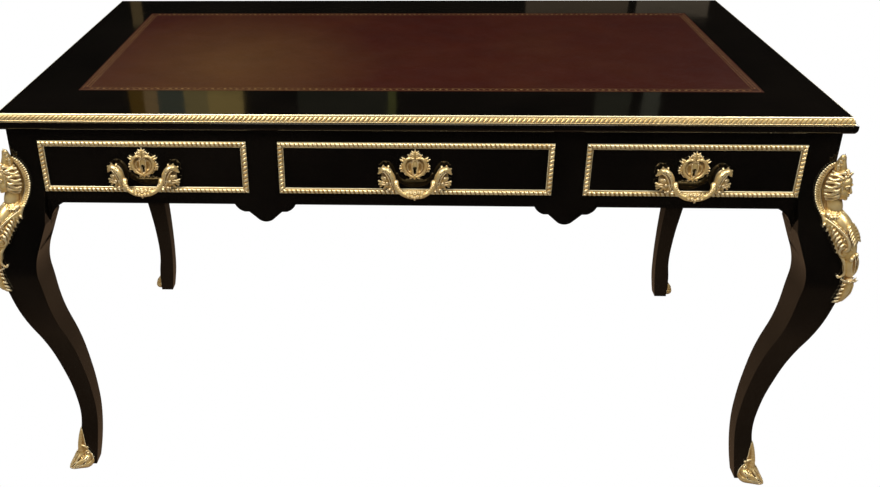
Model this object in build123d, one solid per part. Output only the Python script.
from build123d import *
import math
import os

# A Louis XV style flat writing desk in black lacquer with gilt bronze mounts. Millimetres.
# Origin: on the floor under the middle of the desk. +X right, +Y to the back, +Z up.

# Overall sizes, over the gilt edge mouldings of the top
DESK_LENGTH = 1422.0
DESK_DEPTH = 794.0
DESK_HEIGHT = 780.0

# Top board and its gilt edge
TOP_THICKNESS = 28.0
TOP_CORNER_RADIUS = 15.0
TOP_BULLNOSE = 10.0
EDGE_HEIGHT = 14.0
EDGE_DEPTH = 9.0
# the gilt edge's section inside its own height and depth: distance in from the board's outline and
# distance down from the top, round the outside
EDGE_SECTION = [(8.3, 0.0), (5.5, 3.0), (2.2, 4.8), (0.6, 9.0), (0.6, 12.8), (1.8, EDGE_HEIGHT)]

# Leather writing surface
LEATHER_LENGTH = 1209.0
LEATHER_WIDTH = 541.0
LEATHER_THICKNESS = 1.5
LEATHER_CLEARANCE = 0.3

# Frieze: rails, stiles and panels
FRIEZE_SETBACK = 12.0
FRIEZE_HEIGHT = 141.0
RAIL_THICKNESS = 22.0
TOP_RAIL_HEIGHT = 22.0
APRON_HEIGHT = 21.0
POST_WIDTH = 49.5
STILE_WIDTH = 50.5
MIDDLE_OPENING = 471.0
PENDANT_HALF_WIDTH = 53.5
PENDANT_SHOULDER_HALF_WIDTH = 29.0
PENDANT_SHOULDER_DROP = 14.5
PENDANT_DROP = 34.0
BRACKET_LENGTH = 29.0
BRACKET_DROP = 43.0

# Drawer cases
PARTITION_THICKNESS = 18.0
FRONT_GAP = 1.0
RUNNING_CLEARANCE = 0.3
DRAWER_LENGTH = 520.0
SIDE_THICKNESS = 10.0
SIDE_TOP_DROP = 3.0
DRAWER_BACK_THICKNESS = 10.0
BOTTOM_THICKNESS = 6.0
BOTTOM_RAISE = 6.0
GROOVE_DEPTH = 5.0
GROOVE_CLEARANCE = 0.15
RUNNER_TONGUE = 14.0
GUIDE_HEIGHT = 30.0
KICKER_LAP = 14.0
STOP_LENGTH = 20.0
STOP_HEIGHT = 18.0

# Gilt frames round the drawers and panels
FRAME_WIDTH = 10.0
FRAME_RISE = 5.0
FRAME_BEVEL = 2.0
FRAME_INSET = 0.5
PANEL_FRAME_MARGIN = 12.0

# Lock and keyhole
KEYHOLE_DROP = 46.5
KEYHOLE_RADIUS = 3.5
KEYHOLE_SLOT_WIDTH = 4.0
KEYHOLE_SLOT_DROP = 9.0
KEY_PIN_RADIUS = 1.25
LOCK_WIDTH = 50.0
LOCK_THICKNESS = 10.0
LOCK_BELOW_KEYHOLE = 16.0
LOCK_CLEARANCE = 0.2
BOLT_WIDTH = 20.0
BOLT_THICKNESS = 6.0
BOLT_THROW = 8.0
BOLT_CLEARANCE = 1.5

# Escutcheon
ESCUTCHEON_HALF_WIDTH = 26.0
ESCUTCHEON_TOP = 35.5
ESCUTCHEON_BOTTOM = 19.5
ESCUTCHEON_PLATE = 2.5
ESCUTCHEON_HOLE_MARGIN = 0.4
# half an outline from the crest down, as shares of the half width and of the top or bottom
ESCUTCHEON_CREST = [(0.0, 1.0), (0.13, 0.84), (0.30, 0.84), (0.33, 0.70), (0.52, 0.70), (0.50, 0.56)]
ESCUTCHEON_WING = [(0.80, 0.60), (1.0, 0.47), (0.79, 0.32), (0.76, 0.20), (0.94, 0.12)]
ESCUTCHEON_SIDE = [(0.96, 0.14), (0.82, 0.42), (0.66, 0.50), (0.60, 0.74), (0.34, 0.80), (0.31, 0.97)]
ESCUTCHEON_FOOT = [(0.11, 0.87), (0.0, 1.0)]
# half the heart of scrolls round the keyhole, from its notch to its point, as shares of the plate
ESCUTCHEON_HEART = [(0.08, 0.50), (0.36, 0.60), (0.66, 0.48), (0.74, 0.14), (0.56, -0.22), (0.0, -0.50)]
# the heart's size as a share, and its height off the front: rim, valley and domed shield
ESCUTCHEON_LAYERS = [(1.0, 0.0), (0.97, 4.5), (0.88, 4.5), (0.78, 3.0), (0.5, 6.0)]


# Drop handle: leaf mounts and bail
HANDLE_CENTRES = 94.0
HANDLE_DROP = 67.0
PIVOT_STANDOFF = 16.0
PIVOT_RADIUS = 2.5
PIVOT_CLEARANCE = 0.08
PIVOT_DEPTH = 8.0
KNUCKLE_RADIUS = 4.0
KNUCKLE_WIDTH = 4.5
KNUCKLE_GAP = 0.4
LEAF_INNER = 35.5
LEAF_OUTER = 62.0
LEAF_TOP = 28.0
LEAF_BOTTOM = 17.0
LEAF_RISE = 20.0
BOSS_RADIUS = 5.5
BOSS_SIDES = 8
# a leaf's outline from the foot of its inner edge, as shares of its width and of its top or bottom
LEAF_OUTLINE = [
    (0.0, -0.60), (0.0, 0.15), (0.06, 0.55), (0.26, 0.90), (0.55, 1.0), (0.86, 0.84), (1.0, 0.52),
    (0.80, 0.40), (0.58, 0.28), (0.86, 0.12), (1.0, -0.20), (0.78, -0.72), (0.42, -1.0),
]
# share of the rise, and the leaf's size there as a share of its foot
LEAF_LAYERS = [(0.0, 1.0), (0.55, 0.86), (1.0, 0.40)]
SHANK_SIDE = 4.2
SHANK_CLEARANCE = 0.1
SHANK_PROUD = 1.0
NUT_ACROSS_FLATS = 10.0
NUT_THICKNESS = 5.0
BAIL_DROP = 21.0
BAIL_LEAN = 24.0
BAIL_ARM_RADIUS = 3.0
BAIL_ARM_SIDES = 6
BAIL_ARM_JOINTS = 4
# the arm's curve: middle as shares of the knuckle's distance and the drop, end as shares of the
# swag's half length and the drop, and how far along the arm is at its thickest
BAIL_ARM_MIDDLE = (0.82, 0.61)
BAIL_ARM_END = (0.6, 0.98)
BAIL_ARM_THICKEST = 0.3
KNUCKLE_SIDES = 8
SWAG_HALF_LENGTH = 23.0
SWAG_RADIUS = 8.5
SWAG_SIDES = 6
# share of the swag's half length, and of its radius: a drop of leaves with a berry on each side
SWAG_SWELLS = [(0.0, 1.0), (0.22, 0.72), (0.42, 0.88), (0.72, 0.58), (1.0, 0.2)]

# Legs: a cabriole cut from a square post by the same side view twice. The side view's two edges are
# chains of arcs through knots, measured outward from the face of the frieze.
LEG_TOP = DESK_HEIGHT - TOP_THICKNESS
KNEE_OUT = 43.0
KNEE_THICKNESS = 71.5
ANKLE_IN = 28.0
ANKLE_THICKNESS = 33.2
ANKLE_HEIGHT = 125.0
FOOT_IN = 17.0
FOOT_THICKNESS = 30.0
KNEE_BASE_DROP = 322.0
# drop below the top of the leg, outer face as a share of the knee's reach
KNEE_OUTER = [(52.0, 0.0), (117.0, 0.07), (174.0, 0.63), (240.0, 1.0), (KNEE_BASE_DROP, 0.79)]
# drop below the top of the leg, inner face
KNEE_INNER = [
    (174.0, -POST_WIDTH),
    (204.0, 0.88 * KNEE_OUT - 77.5),
    (240.0, KNEE_OUT - KNEE_THICKNESS),
    (KNEE_BASE_DROP, 0.79 * KNEE_OUT - 63.0),
]
# share of the height from the ankle to the base of the knee
SHIN_OUTER = [(0.446, -11.0), (0.18, 3.5 - ANKLE_IN)]
SHIN_INNER = [(0.446, -54.0), (0.18, 0.9 - ANKLE_IN - ANKLE_THICKNESS)]
# share of the ankle's height
FOOT_OUTER = [(1.0, -ANKLE_IN), (0.35, -FOOT_IN - 2.0), (0.0, -FOOT_IN)]
FOOT_INNER = [(1.0, -ANKLE_IN - ANKLE_THICKNESS), (0.64, -FOOT_IN - 41.5), (0.0, -FOOT_IN - FOOT_THICKNESS)]

# The gilt mounts of the legs lie on the outer corner. They have flat facets, and are cut to the leg.
MOUNT_SEAT = 0.35
MOUNT_FACET = 13.0

# Sabots: gilt shoes on the outer corner of each foot
SABOT_HEIGHT = 90.0
SABOT_LOBE_REACH = 23.0
SABOT_LOBE_HEIGHT = 38.0
SABOT_LOBE_LIFT = 2.0
SABOT_LOBE_SIDES = 8
# size as a share of the lobe, height off the leg's face
SABOT_LOBE_LAYERS = [(1.0, -3.0), (1.0, 2.0), (0.6, 4.5)]
TOE_LENGTH = 25.0
TOE_HEIGHT = 21.0
TOE_HALF_WIDTH = 11.0
# share of the sabot's height, stand-off from the leg's corner, half width of the leaf
SABOT_LEAF = [(0.0, 3.5, 12.0), (0.24, 4.0, 10.0), (0.5, 3.5, 7.0), (0.78, 2.5, 4.5), (1.0, 0.8, 0.8)]
# share of the toe's length beyond the leg, of its height and of its half width
TOE_FORM = [(-0.3, 1.1, 1.0), (0.24, 0.95, 1.0), (0.56, 0.72, 0.88), (0.8, 0.56, 0.7), (1.0, 0.3, 0.4)]
TOE_SECTION = [(-1.0, 0.0), (-1.0, 0.55), (-0.6, 0.9), (0.0, 1.0), (0.6, 0.9), (1.0, 0.55), (1.0, 0.0)]

# Corner mounts: a plumed bust on each knee. In each list a row gives the drop below the top of the
# mount, how far the form reaches out from the leg's corner, and its half width.
MOUNT_TOP_DROP = 34.0
MOUNT_HEIGHT = 271.0
MOUNT_ROOT = 6.0
COWL_THICKNESS = 4.5
# drop below the top of the mount, half width of the cowl as seen on the diagonal
COWL_OUTLINE = [
    (17.0, 4.0), (27.0, 12.0), (38.0, 21.0), (52.0, 26.0), (70.0, 28.3), (90.0, 28.3), (114.0, 25.0)
]
PLUME = [(0.0, 9.0, 1.2), (12.0, 11.0, 5.5), (34.0, 14.0, 7.5)]
PLUME_SIDE = [(8.0, 8.0, 0.9), (19.0, 10.0, 4.8), (38.0, 13.0, 6.0)]
PLUME_LEAN = 9.0
PLUME_CLOSING = 0.5
PLUME_DEPTH = 4.0
HAIR = [(27.0, 17.0, 10.0), (35.0, 25.5, 18.0), (48.0, 27.5, 20.5), (64.0, 25.0, 19.5), (82.0, 14.0, 11.0)]
FACE = [(31.0, 20.0, 6.0), (42.0, 31.0, 12.0), (57.0, 34.0, 13.0), (69.0, 32.0, 10.5), (81.0, 25.0, 4.0)]
BODY = [
    (78.0, 17.0, 9.0),
    (92.0, 12.5, 9.5),
    (101.0, 16.0, 15.0),
    (110.0, 19.0, 21.0),
    (121.0, 18.5, 21.0),
    (147.0, 19.0, 14.0),
    (162.0, 10.0, 10.0),
    (171.0, 18.5, 13.0),
    (184.0, 18.0, 13.5),
    (200.0, 14.0, 11.5),
    (213.0, 8.0, 6.5),
    (224.0, 10.0, 9.0),
    (252.0, 10.5, 6.0),
    (MOUNT_HEIGHT, 2.5, 1.5),
]
# drop, distance from the leg's corner along its face, reach out from that face, half width
DRAPE = [(104.0, 30.0, 4.0, 5.0), (124.0, 24.0, 6.5, 5.5), (146.0, 17.0, 6.0, 4.0), (158.0, 13.0, 4.0, 2.5)]
VOLUTE_DROP = 164.0
VOLUTE_ALONG = 10.0
VOLUTE_RADIUS = 8.0
# size as a share, height off the leg's face
VOLUTE_LAYERS = [(1.0, -6.0), (1.0, 5.5), (0.6, 9.0)]
MOUNT_SIDES = 8
MOUNT_ARCH_POINTS = 7

# Values worked out from the sizes above
HALF_LENGTH = DESK_LENGTH / 2
HALF_DEPTH = DESK_DEPTH / 2
FRIEZE_X = HALF_LENGTH - FRIEZE_SETBACK
FRIEZE_Y = HALF_DEPTH - FRIEZE_SETBACK
FRIEZE_TOP = LEG_TOP
FRIEZE_BOTTOM = FRIEZE_TOP - FRIEZE_HEIGHT
OPENING_TOP = FRIEZE_TOP - TOP_RAIL_HEIGHT
OPENING_BOTTOM = FRIEZE_BOTTOM + APRON_HEIGHT
POST_X = FRIEZE_X - POST_WIDTH
POST_Y = FRIEZE_Y - POST_WIDTH
RAIL_BACK = FRIEZE_Y - RAIL_THICKNESS
SIDE_INNER = FRIEZE_X - RAIL_THICKNESS
STILE_X = MIDDLE_OPENING / 2 + STILE_WIDTH / 2
SIDE_OPENING = POST_X - STILE_X - STILE_WIDTH / 2
SIDE_CENTRE = POST_X - SIDE_OPENING / 2
FRONT_BOTTOM = OPENING_BOTTOM + FRONT_GAP
FRONT_TOP = OPENING_TOP - FRONT_GAP
BOX_BOTTOM = OPENING_BOTTOM + RUNNING_CLEARANCE
BOX_TOP = FRONT_TOP - SIDE_TOP_DROP
BOX_BACK = -FRIEZE_Y + DRAWER_LENGTH
KEYHOLE_Z = FRONT_TOP - KEYHOLE_DROP
HANDLE_HEIGHT = FRONT_TOP - HANDLE_DROP
PIVOT_Y = -FRIEZE_Y - PIVOT_STANDOFF
MOUNT_TOP = LEG_TOP - MOUNT_TOP_DROP
MOUNT_BOTTOM = MOUNT_TOP - MOUNT_HEIGHT
DIAGONAL = math.sqrt(2.0)
KNEE_BASE = LEG_TOP - KNEE_BASE_DROP
DRAWERS = {
    "left": (-SIDE_CENTRE, SIDE_OPENING),
    "middle": (0.0, MIDDLE_OPENING),
    "right": (SIDE_CENTRE, SIDE_OPENING),
}
CORNERS = {
    "front_left": (-1, -1),
    "front_right": (1, -1),
    "back_left": (-1, 1),
    "back_right": (1, 1),
}


def block(x0, x1, y0, y1, z0, z1):
    """A box between two corners."""
    size = Box(x1 - x0, y1 - y0, z1 - z0)
    return Pos((x0 + x1) / 2, (y0 + y1) / 2, (z0 + z1) / 2) * size


def facing_front(y):
    """A plane at depth y whose normal points to the front, with local x right and local y up."""
    return Plane(origin=(0, y, 0), x_dir=(1, 0, 0), z_dir=(0, -1, 0))


def corner_point(across, outward, z):
    """A point from its distances across and outward on the diagonal of the front right corner."""
    return (FRIEZE_X + (outward + across) / DIAGONAL, -FRIEZE_Y - (outward - across) / DIAGONAL, z)


def faceted(rings):
    """A solid with flat facets through rings of points, all with as many points."""
    faces = [make_face(Polyline(*ring, close=True)) for ring in (rings[0], rings[-1])]
    count = len(rings[0])
    for near, far in zip(rings, rings[1:]):
        for k in range(count):
            after = (k + 1) % count
            for corners in ((near[k], near[after], far[after]), (near[k], far[after], far[k])):
                faces.append(make_face(Polyline(*corners, close=True)))
    return Solid(Shell(faces))


def ring_angles(sides):
    """The directions of a regular ring's corners, in radians."""
    return [math.tau * (k + 0.5) / sides for k in range(sides)]


def at_corner(piece, sx, sy):
    """A front right piece, mirrored to another corner."""
    if sx < 0:
        piece = mirror(piece, about=Plane.YZ)
    if sy > 0:
        piece = mirror(piece, about=Plane.XZ)
    return piece


# ---------------------------------------------------------------- top


def rounded_slab(length, depth, radius, z0, z1):
    """A rounded rectangle between two heights."""
    return Pos(0, 0, z0) * extrude(RectangleRounded(length, depth, radius), amount=z1 - z0)


def slab_inside(inset, z0, z1):
    """A slab of the top's plan, drawn in all round by an inset."""
    return rounded_slab(
        DESK_LENGTH - 2 * inset, DESK_DEPTH - 2 * inset, TOP_CORNER_RADIUS - inset, z0, z1
    )


def top_board():
    """The board: a bullnosed lower step, an upper step inside the gilt edge, and the leather's recess."""
    step_z = DESK_HEIGHT - EDGE_HEIGHT
    lower = rounded_slab(DESK_LENGTH, DESK_DEPTH, TOP_CORNER_RADIUS, LEG_TOP, step_z)
    room = min(step_z - LEG_TOP, TOP_CORNER_RADIUS)
    lower = fillet(lower.edges().group_by(Axis.Z)[0], min(TOP_BULLNOSE, 0.9 * room))
    upper = slab_inside(EDGE_DEPTH, step_z, DESK_HEIGHT)
    half_x = LEATHER_LENGTH / 2 + LEATHER_CLEARANCE
    half_y = LEATHER_WIDTH / 2 + LEATHER_CLEARANCE
    recess = block(-half_x, half_x, -half_y, half_y, DESK_HEIGHT - LEATHER_THICKNESS, DESK_HEIGHT)
    return lower + upper - recess


def leather():
    """The leather skiver, flush with the board."""
    half_x = LEATHER_LENGTH / 2
    half_y = LEATHER_WIDTH / 2
    return block(-half_x, half_x, -half_y, half_y, DESK_HEIGHT - LEATHER_THICKNESS, DESK_HEIGHT)


def edge_length(half_run, half_across):
    """The gilt edge along the front of a board of that half size, mitred half way round each corner."""
    corner_x = half_run - TOP_CORNER_RADIUS
    corner_y = -half_across + TOP_CORNER_RADIUS
    section = [(EDGE_DEPTH, 0.0)] + EDGE_SECTION + [(EDGE_DEPTH, EDGE_HEIGHT)]
    across = Plane(origin=(corner_x, -half_across, DESK_HEIGHT), x_dir=(0, 1, 0), z_dir=(1, 0, 0))
    profile = across * make_face(Polyline(*[(depth, -down) for depth, down in section], close=True))
    straight = extrude(profile, amount=-2 * corner_x)
    end = revolve(profile, Axis((corner_x, corner_y, 0), (0, 0, 1)), 45)
    return straight + end + mirror(end, about=Plane.YZ)


# ---------------------------------------------------------------- legs


def two_arcs(start, start_way, end, end_way):
    """Two arcs that meet in a tangent, from one point and direction to another."""
    chord = end - start
    ways = start_way + end_way
    turn = 1 - start_way.dot(end_way)
    reach = chord.dot(chord) / (2 * chord.dot(ways))
    if turn > 1e-9:
        root = math.sqrt(chord.dot(ways) ** 2 + 2 * turn * chord.dot(chord))
        reach = (root - chord.dot(ways)) / (2 * turn)
    middle = (start + start_way * reach + end - end_way * reach) * 0.5
    return [TangentArc(start, middle, tangent=start_way), TangentArc(end, middle, tangent=end_way * -1)]


def arc_chain(knots, first_way=None):
    """Tangent arcs through knots, each knot's direction taken from its neighbours."""
    points = [Vector(*knot) for knot in knots]
    ways = []
    for before, here, after in zip(points, points[1:], points[2:]):
        back = here - before
        ahead = after - here
        ways.append((back.normalized() * ahead.length + ahead.normalized() * back.length).normalized())
    first = first_way or (points[1] - points[0]).normalized() * 2 - ways[0]
    last = (points[-1] - points[-2]).normalized() * 2 - ways[-1]
    ways = [first.normalized()] + ways + [last.normalized()]
    chain = []
    for k in range(len(points) - 1):
        chain += two_arcs(points[k], ways[k], points[k + 1], ways[k + 1])
    return chain


def leg_knots(knee, shin, foot):
    """One edge's knots as points outward and up, from the knee down."""
    points = [(out, LEG_TOP - drop) for drop, out in knee]
    points += [(out, ANKLE_HEIGHT + share * (KNEE_BASE - ANKLE_HEIGHT)) for share, out in shin]
    return points + [(out, share * ANKLE_HEIGHT) for share, out in foot]


def leg_outer_edge():
    """The outer edge of the leg's side view, below the straight post."""
    knee = [(drop, share * KNEE_OUT) for drop, share in KNEE_OUTER]
    return arc_chain(leg_knots(knee, SHIN_OUTER, FOOT_OUTER), Vector(0, -1, 0))


def leg_reach(z, edges):
    """How far the leg's outer face stands out from the frieze's face at a height."""
    if z > (edges[0] @ 0).Y:
        return 0.0
    for edge in edges:
        low, high = sorted((0.0, 1.0), key=lambda share: (edge @ share).Y)
        if (edge @ low).Y - 0.001 <= z <= (edge @ high).Y:
            for _ in range(24):
                middle = (low + high) / 2
                low, high = (middle, high) if (edge @ middle).Y < z else (low, middle)
            return (edge @ low).X
    return -FOOT_IN


def cut_twice(outline):
    """What is left of a post cut by a side view from the front and from the side."""
    front = Plane(origin=(FRIEZE_X, 0, 0), x_dir=(1, 0, 0), z_dir=(0, -1, 0))
    side = Plane(origin=(DESK_LENGTH, -FRIEZE_Y, 0), x_dir=(0, -1, 0), z_dir=(-1, 0, 0))
    return extrude(front * outline, amount=DESK_DEPTH) & extrude(side * outline, amount=DESK_LENGTH)


def leg_solid():
    """The front right leg."""
    outer = leg_outer_edge()
    inner_knots = leg_knots(KNEE_INNER, SHIN_INNER, FOOT_INNER)
    post_end = (0, LEG_TOP - KNEE_OUTER[0][0])
    edges = outer + arc_chain(inner_knots)
    edges += [
        Polyline(post_end, (0, LEG_TOP), (-POST_WIDTH, LEG_TOP), inner_knots[0]),
        Line((-FOOT_IN, 0), inner_knots[-1]),
    ]
    leg = cut_twice(make_face(Curve() + edges))
    low = FRIEZE_BOTTOM - BRACKET_DROP
    leg -= block(0, POST_X, -DESK_DEPTH, 0, low, LEG_TOP)
    return leg - block(0, DESK_LENGTH, -POST_Y, 0, low, LEG_TOP)


def knee_bracket(run, across_start, across_end, along_x, sign):
    """The small shaped block under a rail beside a leg. run is the leg's inner face along the rail."""
    curve = Curve() + [
        Spline(
            (run - BRACKET_LENGTH, FRIEZE_BOTTOM),
            (run - BRACKET_LENGTH * 0.3, FRIEZE_BOTTOM - BRACKET_DROP * 0.42),
            (run, FRIEZE_BOTTOM - BRACKET_DROP),
        ),
        Polyline(
            (run, FRIEZE_BOTTOM - BRACKET_DROP),
            (run, FRIEZE_BOTTOM),
            (run - BRACKET_LENGTH, FRIEZE_BOTTOM),
        ),
    ]
    thickness = across_end - across_start
    if along_x:
        piece = extrude(facing_front(-across_start) * make_face(curve), amount=thickness)
        return piece if sign > 0 else mirror(piece, about=Plane.YZ)
    side_plane = Plane(origin=(across_start, 0, 0), x_dir=(0, 1, 0), z_dir=(1, 0, 0))
    piece = extrude(side_plane * make_face(curve), amount=thickness)
    return piece if sign > 0 else mirror(piece, about=Plane.XZ)


def knee_brackets():
    """Two brackets on each of the four sides."""
    pieces = []
    for sign in (-1, 1):
        front = knee_bracket(POST_X, RAIL_BACK, FRIEZE_Y, True, sign)
        pieces += [front, mirror(front, about=Plane.XZ)]
        side = knee_bracket(POST_Y, SIDE_INNER, FRIEZE_X, False, sign)
        pieces += [side, mirror(side, about=Plane.YZ)]
    return pieces


# ---------------------------------------------------------------- frieze


def pendant_edge(centre):
    """The shaped lower edge of the apron under one stile, from left to right."""
    half = PENDANT_HALF_WIDTH
    shoulder = PENDANT_SHOULDER_HALF_WIDTH
    low = FRIEZE_BOTTOM - PENDANT_SHOULDER_DROP
    lobe = shoulder * 0.42
    lobe_z = FRIEZE_BOTTOM - PENDANT_DROP * 0.88
    points = []
    for side in (-1, 1):
        ear = ThreePointArc(
            (centre + side * half, FRIEZE_BOTTOM),
            (centre + side * (half * 0.88), FRIEZE_BOTTOM - PENDANT_SHOULDER_DROP * 0.62),
            (centre + side * (shoulder * 1.28), low),
        )
        step = Line((centre + side * (shoulder * 1.28), low), (centre + side * shoulder, low))
        slope = Line((centre + side * shoulder, low), (centre + side * lobe, lobe_z))
        points += [ear, step, slope]
    bottom = ThreePointArc(
        (centre - lobe, lobe_z), (centre, FRIEZE_BOTTOM - PENDANT_DROP), (centre + lobe, lobe_z)
    )
    return points + [bottom]


def shaped_rail(top_z):
    """A rail between the front legs whose lower edge carries the two pendants."""
    half = PENDANT_HALF_WIDTH
    edges = pendant_edge(-STILE_X) + pendant_edge(STILE_X)
    edges += [
        Line((-STILE_X + half, FRIEZE_BOTTOM), (STILE_X - half, FRIEZE_BOTTOM)),
        Polyline((STILE_X + half, FRIEZE_BOTTOM), (POST_X, FRIEZE_BOTTOM), (POST_X, top_z)),
        Line((POST_X, top_z), (-POST_X, top_z)),
        Polyline((-POST_X, top_z), (-POST_X, FRIEZE_BOTTOM), (-STILE_X - half, FRIEZE_BOTTOM)),
    ]
    return extrude(facing_front(-RAIL_BACK) * make_face(Curve() + edges), amount=RAIL_THICKNESS)


def bolt_mortise(centre):
    """The slot in the top rail that a lock's bolt rises into."""
    half_x = BOLT_WIDTH / 2 + BOLT_CLEARANCE
    bolt_y = -RAIL_BACK - LOCK_THICKNESS / 2
    half_y = BOLT_THICKNESS / 2 + BOLT_CLEARANCE
    top_z = OPENING_TOP + BOLT_THROW + BOLT_CLEARANCE
    return block(
        centre - half_x, centre + half_x, bolt_y - half_y, bolt_y + half_y, OPENING_TOP, top_z
    )


def front_top_rail():
    """The rail over the drawers."""
    rail = block(-POST_X, POST_X, -FRIEZE_Y, -RAIL_BACK, OPENING_TOP, FRIEZE_TOP)
    for centre, _ in DRAWERS.values():
        rail -= bolt_mortise(centre)
    return rail


def front_stiles():
    """The two uprights between the drawers."""
    half = STILE_WIDTH / 2
    return [
        block(x - half, x + half, -FRIEZE_Y, -RAIL_BACK, OPENING_BOTTOM, OPENING_TOP)
        for x in (-STILE_X, STILE_X)
    ]


def side_panel(sign):
    """The frieze at one end of the desk."""
    piece = block(SIDE_INNER, FRIEZE_X, -POST_Y, POST_Y, FRIEZE_BOTTOM, FRIEZE_TOP)
    return piece if sign > 0 else mirror(piece, about=Plane.YZ)


def partitions():
    """The two boards between the drawers, from the front stiles to the back."""
    half = PARTITION_THICKNESS / 2
    return [
        block(x - half, x + half, -RAIL_BACK, RAIL_BACK, FRIEZE_BOTTOM, OPENING_TOP)
        for x in (-STILE_X, STILE_X)
    ]


def runner(opening_edge, carrier_face):
    """An L-section runner: a tongue under the drawer side and a guide beside it."""
    inward = 1 if carrier_face < opening_edge else -1
    tongue_end = opening_edge + inward * RUNNER_TONGUE
    low, high = sorted((carrier_face, tongue_end))
    tongue = block(low, high, -RAIL_BACK, RAIL_BACK, FRIEZE_BOTTOM, OPENING_BOTTOM)
    low, high = sorted((carrier_face, opening_edge))
    front = -RAIL_BACK if abs(carrier_face) < POST_X else -POST_Y
    guide = block(low, high, front, RAIL_BACK, OPENING_BOTTOM, OPENING_BOTTOM + GUIDE_HEIGHT)
    if abs(carrier_face) > POST_X:
        low, high = sorted((carrier_face, math.copysign(POST_X, carrier_face)))
        for y0, y1 in ((-FRIEZE_Y, -POST_Y), (POST_Y, FRIEZE_Y)):
            tongue -= block(low, high, y0, y1, FRIEZE_BOTTOM, OPENING_BOTTOM)
            guide -= block(low, high, y0, y1, OPENING_BOTTOM, OPENING_BOTTOM + GUIDE_HEIGHT)
    return tongue + guide


def runner_edges():
    """For each runner, the edge of its opening and the face that carries it."""
    half = PARTITION_THICKNESS / 2
    edges = []
    for centre, width in DRAWERS.values():
        for side in (-1, 1):
            edge = centre + side * width / 2
            at_leg = abs(abs(edge) - POST_X) < 1
            partition = math.copysign(STILE_X, edge) - side * half
            edges.append((edge, math.copysign(SIDE_INNER, edge) if at_leg else partition))
    return edges


def drawer_runners():
    """Two runners for each drawer."""
    return [runner(edge, carrier) for edge, carrier in runner_edges()]


def drawer_kickers():
    """Strips over the drawer sides that stop an open drawer from tipping."""
    pieces = []
    half = STILE_WIDTH / 2 + KICKER_LAP
    for sign in (-1, 1):
        x = sign * STILE_X
        pieces.append(block(x - half, x + half, -RAIL_BACK, RAIL_BACK, OPENING_TOP, FRIEZE_TOP))
        low, high = sorted((sign * SIDE_INNER, sign * (POST_X - KICKER_LAP)))
        pieces.append(block(low, high, -POST_Y, POST_Y, OPENING_TOP, FRIEZE_TOP))
    return pieces


def drawer_stops():
    """Blocks on the runners just behind each closed drawer."""
    pieces = []
    start = BOX_BACK + RUNNING_CLEARANCE
    for edge, carrier in runner_edges():
        inward = 1 if carrier < edge else -1
        low, high = sorted((edge, edge + inward * RUNNER_TONGUE))
        pieces.append(
            block(low, high, start, start + STOP_LENGTH, OPENING_BOTTOM, OPENING_BOTTOM + STOP_HEIGHT)
        )
    return pieces


# ---------------------------------------------------------------- gilt frames


def frame_strips(width, height):
    """Four mitred strips round a panel of that size, on the local XY plane, rising along +Z."""
    section = Polyline(
        (0, 0),
        (FRAME_WIDTH, 0),
        (FRAME_WIDTH, FRAME_RISE - FRAME_BEVEL),
        (FRAME_WIDTH - FRAME_BEVEL, FRAME_RISE),
        (FRAME_BEVEL, FRAME_RISE),
        (0, FRAME_RISE - FRAME_BEVEL),
        close=True,
    )
    strips = []
    for turn, long, short in ((0, width, height), (90, height, width)):
        half = long / 2
        away = short / 2
        profile = Plane(origin=(-half, -away, 0), x_dir=(0, 1, 0), z_dir=(1, 0, 0))
        bar = extrude(profile * make_face(section), amount=long)
        wedge = Polyline(
            (-half, -away), (half, -away), (half - FRAME_WIDTH, -away + FRAME_WIDTH),
            (-half + FRAME_WIDTH, -away + FRAME_WIDTH), close=True,
        )
        bar &= extrude(make_face(wedge), amount=FRAME_RISE)
        strips += [Rot(0, 0, turn) * bar, Rot(0, 0, turn + 180) * bar]
    return strips


def frame_on_front(centre, width):
    """A frame on a drawer front, or on the panel behind it."""
    middle_z = (FRONT_BOTTOM + FRONT_TOP) / 2
    plane = Plane(origin=(centre, -FRIEZE_Y, middle_z), x_dir=(1, 0, 0), z_dir=(0, -1, 0))
    size_x = width - 2 * (FRONT_GAP + FRAME_INSET)
    size_z = FRONT_TOP - FRONT_BOTTOM - 2 * FRAME_INSET
    return [plane * strip for strip in frame_strips(size_x, size_z)]


def back_frames():
    """Frames of the three panels at the back, which mirror the drawers."""
    return [
        mirror(strip, about=Plane.XZ)
        for centre, width in DRAWERS.values()
        for strip in frame_on_front(centre, width)
    ]


def side_frames():
    """One frame at each end of the desk."""
    middle_z = (FRONT_BOTTOM + FRONT_TOP) / 2
    plane = Plane(origin=(FRIEZE_X, 0, middle_z), x_dir=(0, 1, 0), z_dir=(1, 0, 0))
    size_y = 2 * (POST_Y - PANEL_FRAME_MARGIN)
    size_z = FRONT_TOP - FRONT_BOTTOM - 2 * FRAME_INSET
    right = [plane * strip for strip in frame_strips(size_y, size_z)]
    return right + [mirror(strip, about=Plane.YZ) for strip in right]


# ---------------------------------------------------------------- drawers


def keyhole(centre, y, depth, margin=0.0):
    """A keyhole cut from depth y towards the back: a round hole over a slot."""
    plane = Plane(origin=(centre, y, KEYHOLE_Z), x_dir=(1, 0, 0), z_dir=(0, -1, 0))
    slot_z = -KEYHOLE_SLOT_DROP / 2
    slot = Pos(0, slot_z) * Rectangle(
        KEYHOLE_SLOT_WIDTH + 2 * margin, KEYHOLE_SLOT_DROP + 2 * margin
    )
    return extrude(plane * (Circle(KEYHOLE_RADIUS + margin) + slot), amount=-depth)


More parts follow.
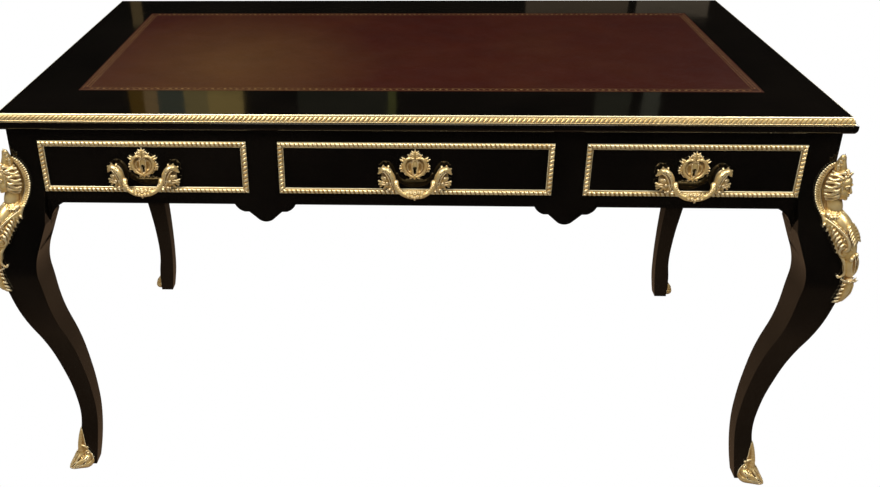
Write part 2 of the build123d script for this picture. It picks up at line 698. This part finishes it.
def lock_space(centre, margin):
    """The room that the lock case takes in the back of the drawer front."""
    half = LOCK_WIDTH / 2 + margin
    low = KEYHOLE_Z - LOCK_BELOW_KEYHOLE - margin
    return block(
        centre - half, centre + half, -RAIL_BACK - LOCK_THICKNESS - margin, -RAIL_BACK, low, FRONT_TOP
    )


def drawer_front(centre, width):
    """The lacquered front, bored for the handle and the key, grooved for the bottom."""
    half = width / 2 - FRONT_GAP
    front = block(centre - half, centre + half, -FRIEZE_Y, -RAIL_BACK, FRONT_BOTTOM, FRONT_TOP)
    front -= lock_space(centre, LOCK_CLEARANCE)
    front -= keyhole(centre, -FRIEZE_Y, RAIL_THICKNESS)
    shank_hole = SHANK_SIDE + 2 * SHANK_CLEARANCE
    for side in (-1, 1):
        hole = Pos(centre + side * HANDLE_CENTRES / 2, HANDLE_HEIGHT) * Rectangle(shank_hole, shank_hole)
        front -= extrude(facing_front(-RAIL_BACK) * hole, amount=RAIL_THICKNESS)
    groove_half = half - SIDE_THICKNESS + GROOVE_DEPTH + GROOVE_CLEARANCE
    low = BOX_BOTTOM + BOTTOM_RAISE - GROOVE_CLEARANCE
    high = BOX_BOTTOM + BOTTOM_RAISE + BOTTOM_THICKNESS + GROOVE_CLEARANCE
    inner = -RAIL_BACK - GROOVE_DEPTH - GROOVE_CLEARANCE
    return front - block(centre - groove_half, centre + groove_half, inner, -RAIL_BACK, low, high)


def drawer_sides(centre, width):
    """The two oak sides, grooved for the bottom."""
    half = width / 2 - FRONT_GAP
    low = BOX_BOTTOM + BOTTOM_RAISE - GROOVE_CLEARANCE
    high = BOX_BOTTOM + BOTTOM_RAISE + BOTTOM_THICKNESS + GROOVE_CLEARANCE
    pieces = []
    for side in (-1, 1):
        x0, x1 = sorted((centre + side * (half - SIDE_THICKNESS), centre + side * half))
        board = block(x0, x1, -RAIL_BACK, BOX_BACK, BOX_BOTTOM, BOX_TOP)
        face = centre + side * (half - SIDE_THICKNESS)
        x0, x1 = sorted((face, face + side * (GROOVE_DEPTH + GROOVE_CLEARANCE)))
        pieces.append(board - block(x0, x1, -RAIL_BACK, BOX_BACK, low, high))
    return pieces


def drawer_back(centre, width):
    """The oak back, which stands on the bottom between the sides."""
    half = width / 2 - FRONT_GAP - SIDE_THICKNESS
    low = BOX_BOTTOM + BOTTOM_RAISE + BOTTOM_THICKNESS
    return block(
        centre - half, centre + half, BOX_BACK - DRAWER_BACK_THICKNESS, BOX_BACK, low, BOX_TOP
    )


def drawer_bottom(centre, width):
    """The oak bottom, held in the grooves."""
    half = width / 2 - FRONT_GAP - SIDE_THICKNESS + GROOVE_DEPTH
    low = BOX_BOTTOM + BOTTOM_RAISE
    return block(
        centre - half, centre + half, -RAIL_BACK - GROOVE_DEPTH, BOX_BACK, low, low + BOTTOM_THICKNESS
    )


def drawer_lock(centre):
    """The brass lock: its case with the bolt drawn back, and the pin that the hollow key turns on."""
    case = lock_space(centre, 0.0)
    plane = Plane(
        origin=(centre, -RAIL_BACK - LOCK_THICKNESS, KEYHOLE_Z), x_dir=(1, 0, 0), z_dir=(0, -1, 0)
    )
    pin = extrude(plane * Circle(KEY_PIN_RADIUS), amount=RAIL_THICKNESS - LOCK_THICKNESS)
    return case + pin


def mirrored(half):
    """A closed outline from one half of it, which starts and ends on or beside the middle line."""
    return half + [(-x, y) for x, y in reversed(half) if x > 0]


def escutcheon_outline():
    """The keyhole plate about the keyhole: crest, wings, side lobes and feet."""
    upper = [(x, y * ESCUTCHEON_TOP) for x, y in ESCUTCHEON_CREST + ESCUTCHEON_WING]
    lower = [(x, -y * ESCUTCHEON_BOTTOM) for x, y in ESCUTCHEON_SIDE + ESCUTCHEON_FOOT]
    return mirrored([(x * ESCUTCHEON_HALF_WIDTH, y) for x, y in upper + lower])


def drawer_escutcheon(centre):
    """The gilt keyhole plate: a cartouche with a raised heart of scrolls round a domed shield."""
    plane = Plane(origin=(centre, -FRIEZE_Y, KEYHOLE_Z), x_dir=(1, 0, 0), z_dir=(0, -1, 0))
    outline = make_face(Polyline(*escutcheon_outline(), close=True))
    half = [(x * ESCUTCHEON_HALF_WIDTH, y * ESCUTCHEON_TOP) for x, y in ESCUTCHEON_HEART]
    rings = []
    for size, rise in ESCUTCHEON_LAYERS:
        rings.append([plane.from_local_coords((size * x, size * y, rise)) for x, y in mirrored(half)])
    proud = ESCUTCHEON_LAYERS[-1][1]
    hole = keyhole(centre, -FRIEZE_Y - proud, proud, -ESCUTCHEON_HOLE_MARGIN)
    return extrude(plane * outline, amount=ESCUTCHEON_PLATE) + faceted(rings) - hole


def leaf_ring(size, rise):
    """The right-hand leaf mount's outline, at a share of its full size and a height off the front."""
    width = LEAF_OUTER - LEAF_INNER
    middle_x = LEAF_INNER + width / 2
    middle_z = (LEAF_TOP - LEAF_BOTTOM) / 2
    ring = []
    for across, up in LEAF_OUTLINE:
        x = LEAF_INNER + across * width
        z = up * (LEAF_TOP if up > 0 else LEAF_BOTTOM)
        spot = (middle_x + size * (x - middle_x), HANDLE_HEIGHT + middle_z + size * (z - middle_z))
        ring.append((spot[0], -FRIEZE_Y - rise, spot[1]))
    return ring


def leaf_mount(centre, side):
    """One leaf mount: leaf, pivot boss and the square shank through the drawer front."""
    leaf = faceted([leaf_ring(size, share * LEAF_RISE) for share, size in LEAF_LAYERS])
    pivot_plane = Plane(origin=(LEAF_INNER, PIVOT_Y, HANDLE_HEIGHT), x_dir=(0, 1, 0), z_dir=(1, 0, 0))
    boss = pivot_plane * RegularPolygon(BOSS_RADIUS, BOSS_SIDES)
    boss = extrude(boss, amount=HANDLE_CENTRES / 2 - LEAF_INNER)
    bore = extrude(pivot_plane * Circle(PIVOT_RADIUS + PIVOT_CLEARANCE), amount=PIVOT_DEPTH)
    shank_plane = Plane(
        origin=(HANDLE_CENTRES / 2, -FRIEZE_Y, HANDLE_HEIGHT), x_dir=(1, 0, 0), z_dir=(0, 1, 0)
    )
    length = RAIL_THICKNESS + NUT_THICKNESS + SHANK_PROUD
    shank = extrude(shank_plane * Rectangle(SHANK_SIDE, SHANK_SIDE), amount=length)
    piece = leaf + boss + shank - bore
    if side < 0:
        piece = mirror(piece, about=Plane.YZ)
    return Pos(centre, 0, 0) * piece


def handle_nut(centre, side):
    """The nut on a leaf mount's shank, inside the drawer."""
    plane = Plane(
        origin=(centre + side * HANDLE_CENTRES / 2, -RAIL_BACK, HANDLE_HEIGHT),
        x_dir=(1, 0, 0),
        z_dir=(0, 1, 0),
    )
    flat_radius = NUT_ACROSS_FLATS / 2
    hole = Circle(SHANK_SIDE / DIAGONAL + SHANK_CLEARANCE)
    ring = RegularPolygon(flat_radius, 6, major_radius=False) - hole
    return extrude(plane * ring, amount=NUT_THICKNESS)


def handle_mounts(centre):
    """Both leaf mounts of one handle and their nuts."""
    pieces = []
    for side in (-1, 1):
        pieces += [leaf_mount(centre, side), handle_nut(centre, side)]
    return pieces


def bail_arm(plane, side):
    """One arm of a bail, from its knuckle down to the swag."""
    top_x = LEAF_INNER - KNUCKLE_GAP - KNUCKLE_WIDTH / 2
    middle = (side * top_x * BAIL_ARM_MIDDLE[0], -BAIL_DROP * BAIL_ARM_MIDDLE[1])
    end = (side * SWAG_HALF_LENGTH * BAIL_ARM_END[0], -BAIL_DROP * BAIL_ARM_END[1])
    path = ThreePointArc((side * top_x, 0), middle, end)
    slim = KNUCKLE_WIDTH / 2
    rings = []
    for k in range(BAIL_ARM_JOINTS):
        share = k / (BAIL_ARM_JOINTS - 1)
        radius = slim + (BAIL_ARM_RADIUS - slim) * min(1.0, share / BAIL_ARM_THICKEST)
        spot = path @ share
        aside = (path % share).cross(Vector(0, 0, 1))
        ring = []
        for angle in ring_angles(BAIL_ARM_SIDES):
            point = spot + aside * (radius * math.cos(angle)) + Vector(0, 0, radius * math.sin(angle))
            ring.append(plane.from_local_coords(point))
        rings.append(ring)
    return faceted(rings)


def bail_swag(plane):
    """The swag between the arms, leaves and berries as swellings, and the small drop under it."""
    outward = [(share * SWAG_HALF_LENGTH, size * SWAG_RADIUS) for share, size in SWAG_SWELLS]
    stations = [(-x, radius) for x, radius in reversed(outward[1:])] + outward
    rings = []
    for x, radius in stations:
        ring = []
        for angle in ring_angles(SWAG_SIDES):
            spot = (x, -BAIL_DROP + radius * math.cos(angle), radius * math.sin(angle))
            ring.append(plane.from_local_coords(spot))
        rings.append(ring)
    return faceted(rings)


def bail(centre):
    """The swinging part of a handle: two curved arms, a swelling swag, and a pin at each end."""
    lean = math.radians(BAIL_LEAN)
    origin = (centre, PIVOT_Y, HANDLE_HEIGHT)
    plane = Plane(origin=origin, x_dir=(1, 0, 0), z_dir=(0, -math.cos(lean), math.sin(lean)))
    piece = bail_swag(plane)
    for side in (-1, 1):
        knuckle_x = centre + side * (LEAF_INNER - KNUCKLE_GAP - KNUCKLE_WIDTH)
        outer = Plane(origin=(knuckle_x, PIVOT_Y, HANDLE_HEIGHT), x_dir=(0, 1, 0), z_dir=(side, 0, 0))
        piece += bail_arm(plane, side)
        piece += extrude(outer * RegularPolygon(KNUCKLE_RADIUS, KNUCKLE_SIDES), amount=KNUCKLE_WIDTH)
        piece += extrude(outer * Circle(PIVOT_RADIUS), amount=KNUCKLE_WIDTH + PIVOT_DEPTH)
    return piece


# ---------------------------------------------------------------- gilt mounts of the legs


class CornerOfLeg:
    """The front right leg's outer corner, which the gilt mounts lie on."""

    def __init__(self):
        self.edges = leg_outer_edge()

    def reach(self, z):
        """How far the leg's faces stand out from the frieze's at a height."""
        return leg_reach(max(z, 0.0), self.edges)

    def outward(self, z):
        """The corner's own distance out on the diagonal at a height."""
        return DIAGONAL * self.reach(z)

    def face_point(self, along, rise, z):
        """A point off the front face, from its distance from the corner and its height off the face."""
        reach = self.reach(z)
        return (FRIEZE_X + reach - along, -FRIEZE_Y - reach - rise, z)

    def wrapped(self, growth, low, high):
        """The leg between two heights, grown outward, with flat facets for the mounts to be cut to."""
        count = math.ceil((high - low) / MOUNT_FACET)
        heights = [low + (high - low) * k / count for k in range(count + 1)]
        front = [(self.reach(z) + growth, z) for z in heights]
        deep = -2 * POST_WIDTH
        return cut_twice(make_face(Polyline(*front, (deep, high), (deep, low), close=True)))

    def arch(self, z, reach, half):
        """A ring astride the corner: an arch outside, and its feet inside the leg."""
        low = self.outward(z) - half
        deep = low - MOUNT_ROOT
        ring = []
        for k in range(MOUNT_ARCH_POINTS):
            angle = math.pi * k / (MOUNT_ARCH_POINTS - 1)
            ring.append(corner_point(half * math.cos(angle), low + (reach + half) * math.sin(angle), z))
        return ring + [corner_point(-half, deep, z), corner_point(half, deep, z)]

    def chevron(self, z, reach, half):
        """A ring of a leaf folded over the corner, its ridge on the diagonal and twice its edges' reach."""
        corner = self.outward(z)
        fold = [(-half, reach / 2 - half), (0, reach), (half, reach / 2 - half)]
        fold += [(half, -half - MOUNT_ROOT), (0, -MOUNT_ROOT), (-half, -half - MOUNT_ROOT)]
        return [corner_point(across, corner + out, z) for across, out in fold]

    def diamond(self, z, reach, half, depth, aside=0.0):
        """A ring of a free leaf: four points about its middle."""
        middle = self.outward(z) + reach
        around = [(half, 0), (0, depth), (-half, 0), (0, -depth)]
        return [corner_point(aside + across, middle + out, z) for across, out in around]

    def oval(self, z, reach, half):
        """A ring that is as deep as it is wide and just touches a distance out from the corner."""
        middle = self.outward(z) + reach - half
        ring = []
        for angle in ring_angles(MOUNT_SIDES):
            ring.append(corner_point(half * math.cos(angle), middle + half * math.sin(angle), z))
        return ring


def both_faces(piece):
    """A piece on the front face of the leg, and its mirror image on the side face."""
    diagonal = Plane(origin=(FRIEZE_X, -FRIEZE_Y, 0), z_dir=(1, 1, 0))
    return piece + mirror(piece, about=diagonal)


def sabot(corner):
    """The gilt shoe: a leaf up the corner, a lobe on each face and a scrolled toe."""
    shoe = faceted([corner.chevron(share * SABOT_HEIGHT, reach, half) for share, reach, half in SABOT_LEAF])
    lobe = []
    for size, rise in SABOT_LOBE_LAYERS:
        ring = []
        for angle in ring_angles(SABOT_LOBE_SIDES):
            along = SABOT_LOBE_REACH / 2 * (1 + size * math.cos(angle))
            z = SABOT_LOBE_LIFT + SABOT_LOBE_HEIGHT / 2 * (1 + size * math.sin(angle))
            x, y, _ = corner.face_point(along, rise, SABOT_LOBE_LIFT + SABOT_LOBE_HEIGHT / 2)
            ring.append((x, y, z))
        lobe.append(ring)
    shoe += both_faces(faceted(lobe))
    foot = corner.outward(0.0)
    toe = []
    for share, high, wide in TOE_FORM:
        out = foot + share * TOE_LENGTH
        section = [(across * wide * TOE_HALF_WIDTH, up * high * TOE_HEIGHT) for across, up in TOE_SECTION]
        toe.append([corner_point(across, out, up) for across, up in section])
    shoe += faceted(toe)
    return shoe - corner.wrapped(MOUNT_SEAT, -MOUNT_FACET, SABOT_HEIGHT + MOUNT_FACET)


def mount_rings(rows, ring):
    """The rings of one form of the corner mount, from its rows of drop, reach and half width."""
    return [ring(MOUNT_TOP - drop, reach, half) for drop, reach, half in rows]


def cowl(corner):
    """The plate behind the bust, wrapped round the corner."""
    outward = Plane(origin=corner_point(0, 0, 0), x_dir=(1, 1, 0), z_dir=(1, -1, 0))
    half = [(wide, MOUNT_TOP - drop) for drop, wide in COWL_OUTLINE]
    outline = outward * make_face(Polyline(*mirrored(half), close=True))
    low = MOUNT_TOP - COWL_OUTLINE[-1][0]
    return corner.wrapped(COWL_THICKNESS, low, MOUNT_TOP) & extrude(outline, amount=DESK_DEPTH, both=True)


def corner_mount(corner):
    """The gilt mount on a knee: a plumed bust on a wrapped cowl, its draped body, scroll and tail."""
    piece = faceted(mount_rings(HAIR, corner.arch))
    piece += faceted(mount_rings(FACE, corner.oval))
    piece += faceted(mount_rings(BODY, corner.arch))
    for aside, rows in ((0.0, PLUME), (-PLUME_LEAN, PLUME_SIDE), (PLUME_LEAN, PLUME_SIDE)):
        rings = []
        for drop, reach, half in rows:
            spread = aside * (1.0 - PLUME_CLOSING * drop / PLUME[-1][0])
            rings.append(corner.diamond(MOUNT_TOP - drop, reach, half, PLUME_DEPTH, spread))
        piece += faceted(rings)
    drape = []
    for drop, along, rise, half in DRAPE:
        z = MOUNT_TOP - drop
        row = [(along - half, -MOUNT_ROOT), (along, rise), (along + half, -MOUNT_ROOT)]
        drape.append([corner.face_point(spot, height, z) for spot, height in row])
    piece += both_faces(faceted(drape))
    middle = MOUNT_TOP - VOLUTE_DROP
    volute = []
    for size, rise in VOLUTE_LAYERS:
        x, y, _ = corner.face_point(VOLUTE_ALONG, rise, middle)
        radius = size * VOLUTE_RADIUS
        volute.append(
            [(x + radius * math.cos(t), y, middle + radius * math.sin(t)) for t in ring_angles(MOUNT_SIDES)]
        )
    piece += both_faces(faceted(volute))
    piece += cowl(corner)
    seat = corner.wrapped(MOUNT_SEAT, MOUNT_BOTTOM - MOUNT_FACET, MOUNT_TOP + MOUNT_FACET)
    return piece - seat


# ---------------------------------------------------------------- files


def write(name, piece):
    """One STEP file for a node, from one solid or a list of separate ones."""
    if isinstance(piece, list):
        piece = Compound(children=[solid for item in piece for solid in item.solids()])
    export_step(piece, f"parts/{name}.step")


def main():
    os.makedirs("parts", exist_ok=True)
    write("top_board", top_board())
    write("leather_inset", leather())
    long_edge = edge_length(HALF_LENGTH, HALF_DEPTH)
    write("edge_moulding_front", long_edge)
    write("edge_moulding_back", Rot(0, 0, 180) * long_edge)
    short_edge = edge_length(HALF_DEPTH, HALF_LENGTH)
    write("edge_moulding_right", Rot(0, 0, 90) * short_edge)
    write("edge_moulding_left", Rot(0, 0, -90) * short_edge)
    leg = leg_solid()
    corner_of_leg = CornerOfLeg()
    shoe = sabot(corner_of_leg)
    bust = corner_mount(corner_of_leg)
    for corner, (sx, sy) in CORNERS.items():
        write(f"leg_{corner}", at_corner(leg, sx, sy))
        write(f"sabot_{corner}", at_corner(shoe, sx, sy))
        write(f"corner_mount_{corner}", at_corner(bust, sx, sy))
    write("front_top_rail", front_top_rail())
    write("front_apron", shaped_rail(OPENING_BOTTOM))
    write("front_stiles", front_stiles())
    write("back_panel", mirror(shaped_rail(FRIEZE_TOP), about=Plane.XZ))
    write("side_panel_left", side_panel(-1))
    write("side_panel_right", side_panel(1))
    write("knee_brackets", knee_brackets())
    write("drawer_partitions", partitions())
    write("drawer_runners", drawer_runners())
    write("drawer_kickers", drawer_kickers())
    write("drawer_stops", drawer_stops())
    write("back_frames", back_frames())
    write("side_frames", side_frames())
    for name, (centre, width) in DRAWERS.items():
        write(f"drawer_{name}_front", drawer_front(centre, width))
        write(f"drawer_{name}_sides", drawer_sides(centre, width))
        write(f"drawer_{name}_back", drawer_back(centre, width))
        write(f"drawer_{name}_bottom", drawer_bottom(centre, width))
        write(f"drawer_{name}_frame", frame_on_front(centre, width))
        write(f"drawer_{name}_escutcheon", drawer_escutcheon(centre))
        write(f"drawer_{name}_lock", drawer_lock(centre))
        write(f"drawer_{name}_handle_mounts", handle_mounts(centre))
        write(f"drawer_{name}_bail", bail(centre))


main()
